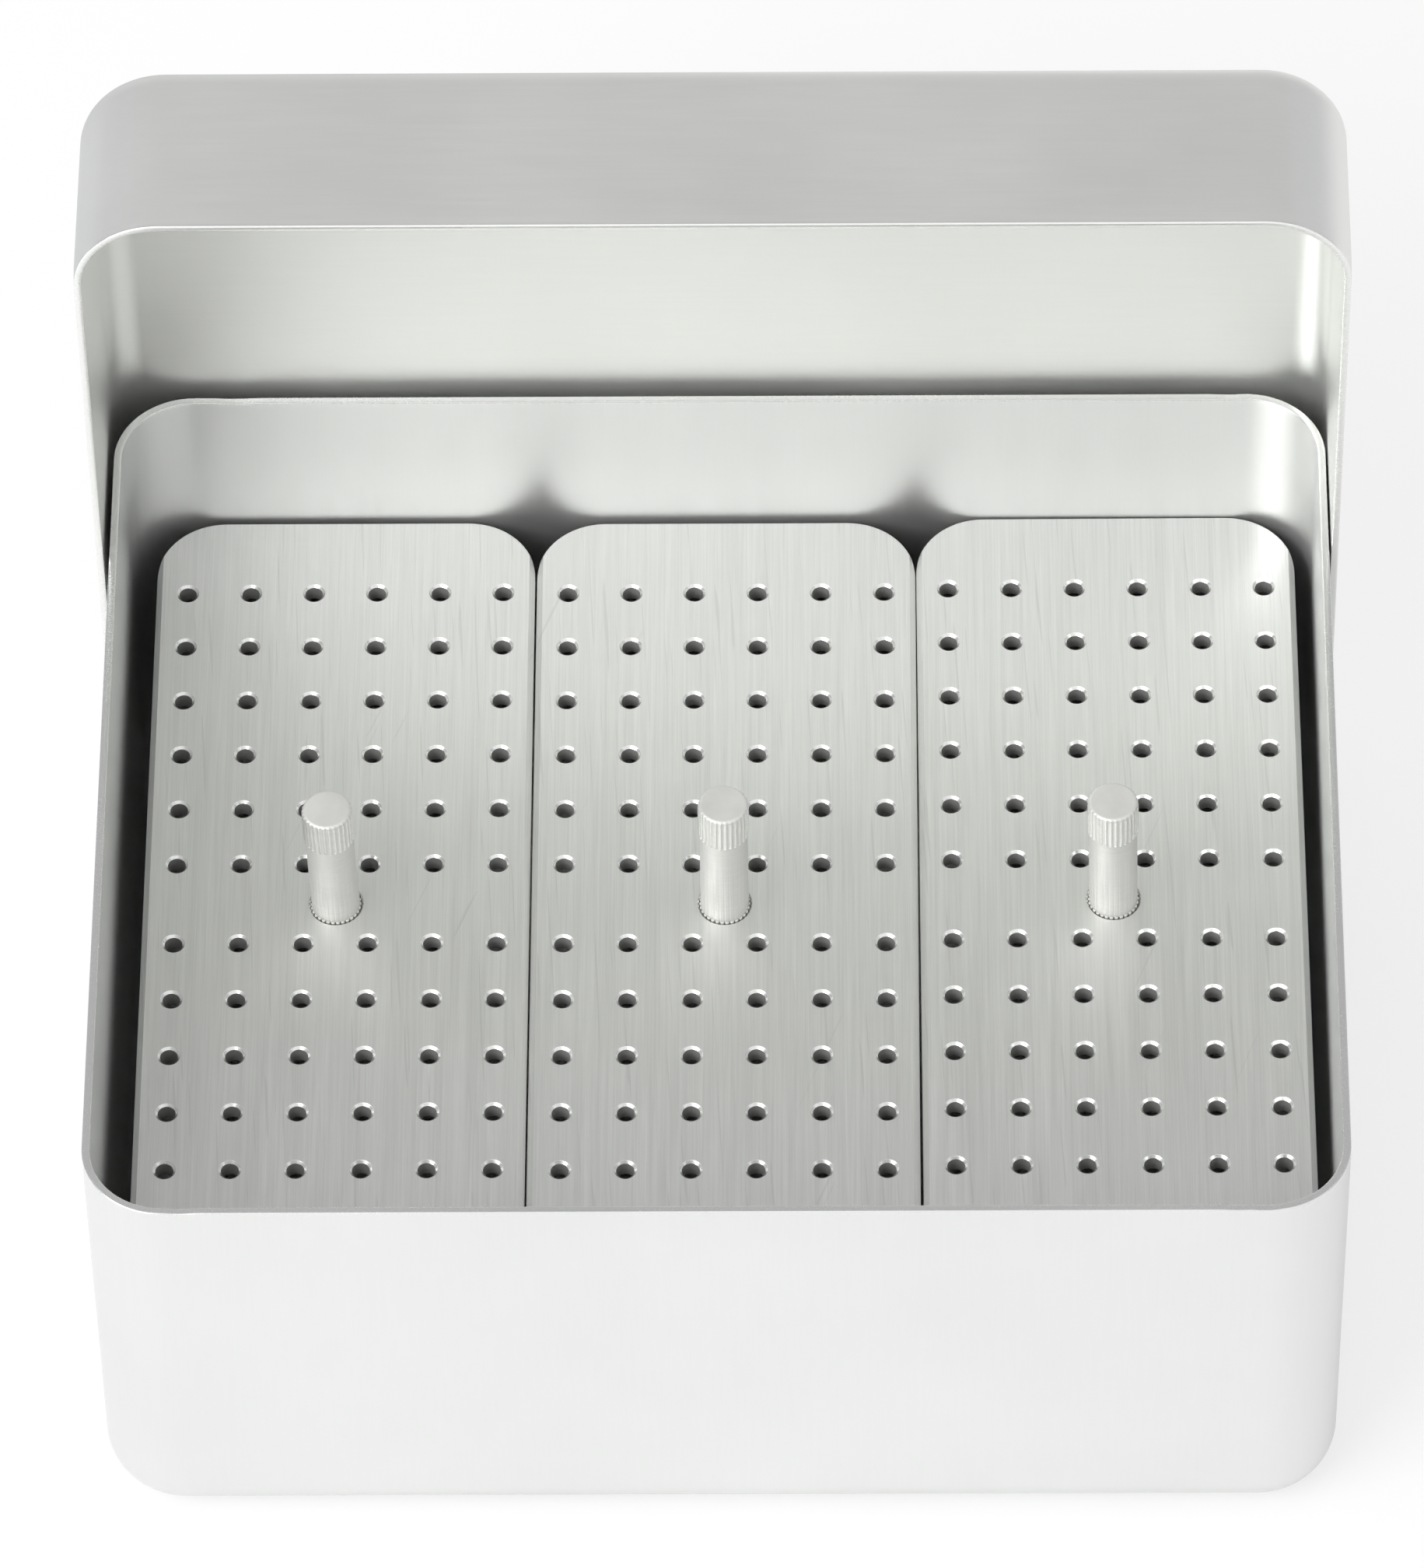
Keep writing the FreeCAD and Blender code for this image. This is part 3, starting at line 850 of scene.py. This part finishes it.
@dataclass(frozen=True)
class LiftingPost:
    """Turned pin with a knurled grip at its top and a knurled seat in the plate."""

    shank_radius: float = 2.425 * MM
    ridge_radius: float = 2.575 * MM
    valley_radius: float = 2.43 * MM
    length: float = 18.9 * MM
    grip: float = 4.4 * MM
    top_round: float = 0.3 * MM
    end_bead: float = 0.42 * MM
    ridges: int = 30
    steps_per_ridge: int = 12
    steps_per_bead: int = 8
    seat_steps: int = 16
    end_steps: int = 12
    top_steps: int = 5
    shoulder: float = 0.04 * MM
    bead_pitch: float = 0.3 * MM
    bead_depth: float = 0.10 * MM
    seat_groove: float = 0.16 * MM
    plate_middle: float = 32.0 * MM
    half_plate: float = 1.0 * MM
    sunk: float = 0.06 * MM
    sharp_degrees: float = 60.0

    def grip_radius(self, angle: float, height: float) -> float:
        """Radius on the grip: narrow ridges, broken into beads, with a larger bead at their lower end.

        Args:
            angle: angle round the axis.
            height: height on the post.

        Returns:
            The radius there.
        """
        crest = (0.5 + 0.5 * math.cos(angle * self.ridges)) ** 1.6
        above = height - (self.length - self.grip)
        full = self.ridge_radius - self.valley_radius
        if above < self.end_bead:
            rise = math.sin(math.pi * above / self.end_bead) ** 0.6
            return self.valley_radius + full * rise * crest
        phase = math.tau * (above - self.end_bead) / self.bead_pitch
        return self.valley_radius + (full - self.bead_depth * (0.5 + 0.5 * math.cos(phase))) * crest

    def seat_radius(self, angle: float) -> float:
        """Radius on the seat: wide teeth with narrow grooves."""
        tooth = (0.5 + 0.5 * math.cos(angle * self.ridges)) ** 0.3
        return self.ridge_radius - (1 - tooth) * (self.ridge_radius - self.valley_radius + self.seat_groove)

    def levels(self, seat: float) -> list[float]:
        """Heights of the rings, close together on the bands."""
        start = self.length - self.grip
        first = start + self.end_bead
        last = self.length - self.top_round
        count = round((last - first) / self.bead_pitch * self.steps_per_bead)
        low = [seat * step / self.seat_steps for step in range(self.seat_steps + 1)]
        shank = [seat + self.shoulder, start - self.shoulder]
        ends = [start + self.end_bead * step / self.end_steps for step in range(self.end_steps + 1)]
        beads = [first + (last - first) * step / count for step in range(1, count + 1)]
        return low + shank + ends + beads

    def radius(self, angle: float, height: float, seat: float) -> float:
        """Radius of the post at an angle and height."""
        if height <= seat:
            return self.seat_radius(angle)
        if height < self.length - self.grip:
            return self.shank_radius
        return self.grip_radius(angle, height)

    def polished(self, point: Vector) -> float:
        """1 on the crests of the grip's ridges, 0 in the grooves and on the shank."""
        if point.z < self.length - self.grip or point.z > self.length - self.top_round:
            return 0.0
        crest = 0.5 + 0.5 * math.cos(math.atan2(point.y, point.x) * self.ridges)
        return min(1.0, max(0.0, crest * 2.0 - 0.8))

    def build(self, place: RackPlace, matrix: Matrix, material: bpy.types.Material) -> bpy.types.Object:
        """Make one post in its place.

        Args:
            place: rack and stand of the post.
            matrix: its place in the world.
            material: its finish.

        Returns:
            The new object.
        """
        seat = self.length - place.post_stand - self.sunk
        count = self.ridges * self.steps_per_ridge
        angles = [math.tau * step / count for step in range(count)]
        rings = []
        for height in self.levels(seat):
            rings.append([polar(self.radius(a, height, seat), a, height) for a in angles])
        edge = self.length - self.top_round
        ridges = [self.radius(a, edge, seat) - self.valley_radius for a in angles]
        for step in range(1, self.top_steps + 1):
            turn = math.radians(90 * step / self.top_steps)
            base = self.valley_radius - self.top_round * (1 - math.cos(turn))
            fade = 1 - math.sin(turn)
            height = edge + self.top_round * math.sin(turn)
            rings.append([polar(base + ridge * fade, a, height) for ridge, a in zip(ridges, angles)])
        mesh = bmesh.new()
        closed_skin(mesh, rings)
        name = f"lifting_post_{place.side}"
        data = finish_mesh(mesh, name, self.sharp_degrees)
        put_mark(data, Mark.WORN, self.polished)
        return place_piece(name, data, matrix, f"post_{place.side}", material)

    def place_in(self, rack: Matrix, place: RackPlace) -> Matrix:
        """Matrix of the post in its leaning hole.

        Args:
            rack: matrix of its rack.
            place: how the post stands.

        Returns:
            The post's matrix in the world.
        """
        lean = Matrix.Rotation(math.radians(place.post_lean_degrees), 4, "Y")
        drop = place.post_stand + self.half_plate - self.length
        return rack @ Matrix.Translation((0, 0, self.plate_middle)) @ lean @ Matrix.Translation((0, 0, drop))


def polar(radius: float, angle: float, height: float) -> Point:
    """A point from cylinder coordinates."""
    return (radius * math.cos(angle), radius * math.sin(angle), height)


@dataclass(frozen=True)
class FileBox:
    """The whole box: tray, lid, three racks and their posts."""

    tray_place: TrayPlace = TrayPlace()
    lid_back_y: float = 52.2325 * MM
    lid_middle_z: float = 52.15 * MM
    tray_colour: Colour = (0.79, 0.797, 0.79)
    lid_colour: Colour = (0.885, 0.893, 0.87)
    rack_colour: Colour = (0.87, 0.877, 0.855)
    # Dark grey painted on the walls of the file holes as painted shade of the recess.
    bore_shade_colour: Colour = (0.42, 0.42, 0.41)
    post_colour: Colour = (0.78, 0.78, 0.755)

    def racks(self) -> list[RackPlace]:
        """The three racks from left to right."""
        return [
            RackPlace("left", -38.7 * MM, 0.70 * MM, 0.0, 15.6 * MM, -1.3),
            RackPlace("middle", 0.5 * MM, 0.55 * MM, 0.0, 16.4 * MM, 0.0),
            RackPlace("right", 39.7 * MM, 1.00 * MM, 0.15, 16.0 * MM, -1.1),
        ]

    def rim_dents(self) -> tuple[Dent, ...]:
        """Nicks of use in the tray's rim."""
        return (
            Dent(-49.6 * MM, 1, 2.2 * MM, 0.10 * MM),
            Dent(-52.0 * MM, -1, 1.5 * MM, 0.12 * MM),
            Dent(50.6 * MM, -1, 1.3 * MM, 0.10 * MM),
            Dent(53.2 * MM, -1, 1.6 * MM, 0.14 * MM),
            Dent(52.0 * MM, 1, 1.6 * MM, 0.08 * MM),
        )

    def tray(self) -> DrawnShell:
        """The tray's shell."""
        return DrawnShell(
            name="drawn_tray",
            node="file_tray",
            slot="tray_sheet",
            width=123.4 * MM,
            length=102.4 * MM,
            depth=52.8 * MM,
            corner_radius=8.0 * MM,
            edge_radius=6.0 * MM,
            dents=self.rim_dents(),
        )

    def lid(self) -> DrawnShell:
        """The lid's shell."""
        return DrawnShell(
            name="drawn_lid",
            node="lid",
            slot="lid_sheet",
            width=125.8 * MM,
            length=104.3 * MM,
            depth=22.6 * MM,
            corner_radius=8.8 * MM,
            edge_radius=4.3 * MM,
            rim_roll=0.09 * MM,
        )

    def build(self) -> None:
        """Make every piece."""
        tilted = self.tray_place.matrix()
        tray_finish = AnodisedSheet("tray_anodised", Grain.ALONG_Z, self.tray_colour, tilted)
        self.tray().build(tilted, tray_finish.build())
        log.info("tray built")

        standing = Matrix.Rotation(math.pi / 2, 4, "X")
        upright = Matrix.Translation((0, self.lid_back_y, self.lid_middle_z)) @ standing
        lid_finish = AnodisedSheet("lid_anodised", Grain.ALONG_X, self.lid_colour, Matrix())
        self.lid().build(upright, lid_finish.build())
        log.info("lid built")

        plate_finish = BrushedPlate("rack_brushed", self.rack_colour, self.bore_shade_colour, tilted).build()
        pin_finish = TurnedPin("post_turned", self.post_colour, tilted).build()
        rack_mesh = PerforatedRack().solid_mesh()
        post = LiftingPost()
        for place in self.racks():
            matrix = place.matrix(self.tray_place)
            name = f"drilled_rack_{place.side}"
            place_piece(name, rack_mesh.copy(), matrix, f"rack_{place.side}", plate_finish)
            post.build(place, post.place_in(matrix, place), pin_finish)
            log.info("rack and post %s built", place.side)


# Studio


@dataclass(frozen=True)
class PhotoCamera:
    """Camera at the photograph's angle."""

    place: Point = (12.76 * MM, -708.84 * MM, 925.7 * MM)
    elevation_degrees: float = 50.877
    heading_degrees: float = -1.061
    roll_degrees: float = -1.039
    lens_mm: float = 285.43
    sensor_mm: float = 36.0
    farthest: float = 20.0

    def build(self) -> None:
        """Make the camera and put it in charge of the scene."""
        elevation = math.radians(self.elevation_degrees)
        heading = math.radians(self.heading_degrees)
        roll = math.radians(self.roll_degrees)
        level = Vector((math.sin(heading), math.cos(heading), 0.0))
        ahead = level * math.cos(elevation) - Vector((0.0, 0.0, math.sin(elevation)))
        level_right = ahead.cross(Vector((0, 0, 1))).normalized()
        level_up = level_right.cross(ahead)
        right = math.cos(roll) * level_right + math.sin(roll) * level_up
        up = -math.sin(roll) * level_right + math.cos(roll) * level_up
        data = bpy.data.cameras.new("photo_camera")
        data.sensor_fit = "HORIZONTAL"
        data.sensor_width = self.sensor_mm
        data.lens = self.lens_mm
        data.clip_end = self.farthest
        camera = bpy.data.objects.new("photo_camera", data)
        bpy.context.scene.collection.objects.link(camera)
        turned = Matrix((right, up, -ahead)).transposed().to_4x4()
        camera.matrix_world = Matrix.Translation(self.place) @ turned
        bpy.context.scene.camera = camera


@dataclass(frozen=True)
class SoftBox:
    """One soft lamp that looks at the middle of the box."""

    name: str
    place: Point
    size: tuple[float, float]
    power: float
    target: Point = (0.0, 0.0, 0.04)

    def build(self) -> None:
        """Make the lamp."""
        data = bpy.data.lights.new(self.name, "AREA")
        data.shape = "RECTANGLE"
        data.size, data.size_y = self.size
        data.energy = self.power
        lamp = bpy.data.objects.new(self.name, data)
        bpy.context.scene.collection.objects.link(lamp)
        aim = Vector(self.target) - Vector(self.place)
        lamp.matrix_world = Matrix.Translation(self.place) @ aim.to_track_quat("-Z", "Y").to_matrix().to_4x4()


@dataclass(frozen=True)
class GreyCard:
    """Studio card that only reflections see, for metal needs something darker than the white room.

    The strengths are the glow at its lower and its upper edge.
    """

    name: str
    place: Point
    facing: Point
    size: tuple[float, float]
    low_strength: float
    high_strength: float
    tint: Colour = (1.0, 1.0, 1.0)

    def build(self) -> None:
        """Make the card with a strength that changes evenly from its lower to its upper edge."""
        width, height = self.size
        card = add_panel(self.name, width, height)
        aim = Vector(self.facing) - Vector(self.place)
        card.matrix_world = Matrix.Translation(self.place) @ aim.to_track_quat("Z", "Y").to_matrix().to_4x4()
        sheet = NodeSheet(self.name)
        glow = sheet.node("ShaderNodeEmission")
        split = sheet.node("ShaderNodeSeparateXYZ")
        sheet.link(sheet.place, split.inputs["Vector"])
        top = height / 2
        strength = sheet.ramp(split.outputs["Y"], -top, top, self.low_strength, self.high_strength)
        sheet.link(strength, glow.inputs["Strength"])
        glow.inputs["Color"].default_value = (*self.tint, 1.0)
        sheet.link(glow.outputs["Emission"], sheet.output.inputs["Surface"])
        card.data.materials.append(sheet.material)
        card.visible_camera = False
        card.visible_diffuse = False
        card.visible_shadow = False
        card.visible_transmission = False


@dataclass(frozen=True)
class Studio:
    """Pale floor, white room, one soft lamp and the cards that the metal reflects."""

    floor_size: float = 6.0
    floor_gap: float = 0.05 * MM
    floor_colour: Colour = (0.96, 0.96, 0.96)
    floor_roughness: float = 0.9
    floor_specular: float = 0.1
    paper_scale: float = 900.0
    paper_dark: float = 0.99
    room_light: float = 0.76
    backdrop_share: float = 0.62

    def floor(self) -> None:
        """Make the floor."""
        floor = add_panel("studio_floor", self.floor_size, self.floor_size)
        floor.location.z = -self.floor_gap
        sheet = NodeSheet("studio_floor")
        paper = sheet.noise(self.paper_scale, Grain.EVEN, 2.0, 0.5)
        dark = tuple(self.paper_dark * part for part in self.floor_colour)
        sheet.link(sheet.blend(paper, dark, self.floor_colour), sheet.shader.inputs["Base Color"])
        sheet.shader.inputs["Roughness"].default_value = self.floor_roughness
        sheet.shader.inputs["Specular IOR Level"].default_value = self.floor_specular
        white = sheet.node("ShaderNodeEmission")
        white.inputs["Strength"].default_value = 1.0
        path = sheet.node("ShaderNodeLightPath")
        share = sheet.maths("MULTIPLY", path.outputs["Is Camera Ray"], self.backdrop_share)
        mix = sheet.node("ShaderNodeMixShader")
        sheet.link(share, mix.inputs["Fac"])
        sheet.link(sheet.shader.outputs["BSDF"], mix.inputs[1])
        sheet.link(white.outputs["Emission"], mix.inputs[2])
        sheet.link(mix.outputs["Shader"], sheet.output.inputs["Surface"])
        floor.data.materials.append(sheet.material)

    def room(self) -> None:
        """White for what the camera and reflections see, and an even, lower light for the rest."""
        world = bpy.data.worlds.new("studio_room")
        bpy.context.scene.world = world
        world.use_nodes = True
        tree = world.node_tree
        tree.nodes.clear()
        output = tree.nodes.new("ShaderNodeOutputWorld")
        seen = tree.nodes.new("ShaderNodeBackground")
        seen.inputs["Strength"].default_value = 1.0
        seen.inputs["Color"].default_value = (1.0, 1.0, 1.0, 1.0)
        even = tree.nodes.new("ShaderNodeBackground")
        even.inputs["Strength"].default_value = self.room_light
        even.inputs["Color"].default_value = (1.0, 1.0, 1.0, 1.0)
        path = tree.nodes.new("ShaderNodeLightPath")
        first = tree.nodes.new("ShaderNodeMath")
        first.operation = "MAXIMUM"
        second = tree.nodes.new("ShaderNodeMath")
        second.operation = "MAXIMUM"
        tree.links.new(path.outputs["Is Camera Ray"], first.inputs[0])
        tree.links.new(path.outputs["Is Glossy Ray"], first.inputs[1])
        tree.links.new(first.outputs[0], second.inputs[0])
        tree.links.new(path.outputs["Is Transmission Ray"], second.inputs[1])
        mix = tree.nodes.new("ShaderNodeMixShader")
        tree.links.new(second.outputs[0], mix.inputs["Fac"])
        tree.links.new(even.outputs[0], mix.inputs[1])
        tree.links.new(seen.outputs[0], mix.inputs[2])
        tree.links.new(mix.outputs[0], output.inputs["Surface"])

    def build(self) -> None:
        """Make floor, room, lamp, cards and camera."""
        self.floor()
        self.room()
        SoftBox("main_softbox", (-0.66, -0.62, 0.79), (0.8, 0.62), 7.8).build()
        GreyCard("back_card", (0.0, 1.25, 1.05), (0.0, 0.0, 0.0), (4.4, 2.6), 0.62, 0.39).build()
        cool = (0.96, 0.965, 1.0)
        GreyCard("left_card", (-1.0, 0.35, 0.5), (0.0, 0.0, 0.5), (1.7, 1.0), 0.50, 0.50, cool).build()
        GreyCard("right_card", (1.0, 0.35, 0.5), (0.0, 0.0, 0.5), (1.7, 1.0), 0.58, 0.58, cool).build()
        behind_left = (-0.28, 0.34, 0.002)
        above_it = (-0.28, 0.34, 1.0)
        GreyCard("floor_card", behind_left, above_it, (0.56, 0.52), 0.60, 0.60, cool).build()
        PhotoCamera().build()
        bpy.context.scene.view_settings.view_transform = "Standard"


def main() -> None:
    """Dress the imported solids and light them."""
    logging.basicConfig(level=logging.INFO, format="%(message)s")
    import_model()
    FileBox().build()
    Studio().build()


if __name__ == "__main__":
    main()
